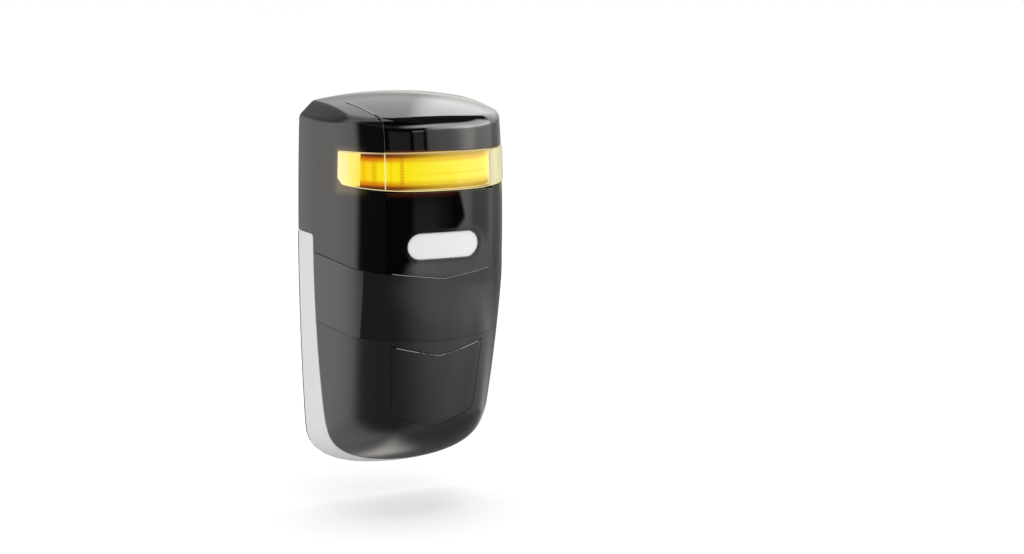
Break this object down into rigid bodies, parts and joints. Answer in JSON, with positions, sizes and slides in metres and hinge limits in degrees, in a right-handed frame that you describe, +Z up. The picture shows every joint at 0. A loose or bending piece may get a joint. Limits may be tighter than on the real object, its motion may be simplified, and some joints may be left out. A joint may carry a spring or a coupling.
{
  "type": "gate safety photocell",
  "caption": "Wall-mounted gate photocell: half round dark covers on a silver base, gloss visor, amber lamp band, infrared window, access lid and an aimable optic inside.",
  "frame": {"origin": "on the wall plane, midway between the two wall screws and at mid width", "axes": "+X right as seen from the front, -Y out of the wall towards the viewer, +Z up"},
  "size_m": [0.0646, 0.0473, 0.1269],
  "materials": {
    "black_rubber": "matt",
    "silver_plastic": "satin silver grey",
    "dark_plastic": "satin dark brown grey",
    "gloss_black": "mirror gloss",
    "clear_plastic": "clear polycarbonate",
    "amber_plastic": "translucent amber",
    "window_plastic": "infrared clear dark plastic",
    "badge_silver": "satin silver",
    "badge_frame": "gloss",
    "green_board": "green solder mask",
    "white_plastic": "white",
    "strip_board": "white solder mask",
    "steel": "zinc plated",
    "terminal_green": "green polyamide",
    "relay_orange": "orange",
    "can_blue": "sleeved",
    "chip_black": "moulded epoxy",
    "switch_red": "red",
    "led_green": "translucent green",
    "led_yellow": "phosphor",
    "optic_black": "matt",
    "optic_red": "deep red filter",
    "diode_dark": "dark epoxy",
    "ribbon_amber": "polyimide"
  },
  "bodies": {
    "base": {"wall_gasket": "black_rubber", "rear_base": "silver_plastic", "cable_grommet": "black_rubber", "cover_seal": "black_rubber", "main_board": "green_board", "board_screws": "steel", "terminal_block": "terminal_green", "terminal_screws": "steel", "relay": "relay_orange", "capacitor": "can_blue", "controller_chip": "chip_black", "voltage_regulator": "chip_black", "dip_switch_body": "switch_red", "status_led": "led_green", "optic_bracket": "optic_black", "optic_pivots": "steel", "lamp_carrier": "white_plastic", "carrier_screws": "steel", "lamp_board": "strip_board", "lamp_leds": "led_yellow", "light_guide": "amber_plastic", "ribbon_socket": "white_plastic", "lamp_ribbon": "ribbon_amber"},
    "front_cover": {"upper_cover": "dark_plastic", "visor_cap": "gloss_black", "visor_face": "gloss_black", "lamp_lens": "clear_plastic", "badge_bezel": "badge_frame", "badge_plate": "badge_silver", "ir_window": "window_plastic", "lower_cover": "dark_plastic", "cover_screw": "steel"},
    "lid": {"access_lid": "dark_plastic"},
    "optic": {"optic_barrel": "optic_black", "optic_lens": "optic_red", "ir_receiver": "diode_dark"},
    "dip_slider_1": {"dip_slider_1": "white_plastic"},
    "dip_slider_2": {"dip_slider_2": "white_plastic"}
  },
  "joints": [
    {"name": "cover_lift", "type": "slide", "parent": "base", "child": "front_cover", "axis": [0, -1, 0], "range_m": [0, 0.06]},
    {"name": "lid_lift", "type": "slide", "parent": "front_cover", "child": "lid", "axis": [0, -1, 0], "range_m": [0, 0.015]},
    {"name": "optic_swing", "type": "hinge", "parent": "base", "child": "optic", "pos_m": [0, -0.024, -0.001], "axis": [0, 0, 1], "range_deg": [-15, 15]},
    {"name": "dip_1", "type": "slide", "parent": "base", "child": "dip_slider_1", "axis": [0, 0, 1], "range_m": [0, 0.0016]},
    {"name": "dip_2", "type": "slide", "parent": "base", "child": "dip_slider_2", "axis": [0, 0, 1], "range_m": [0, 0.0016]}
  ]
}
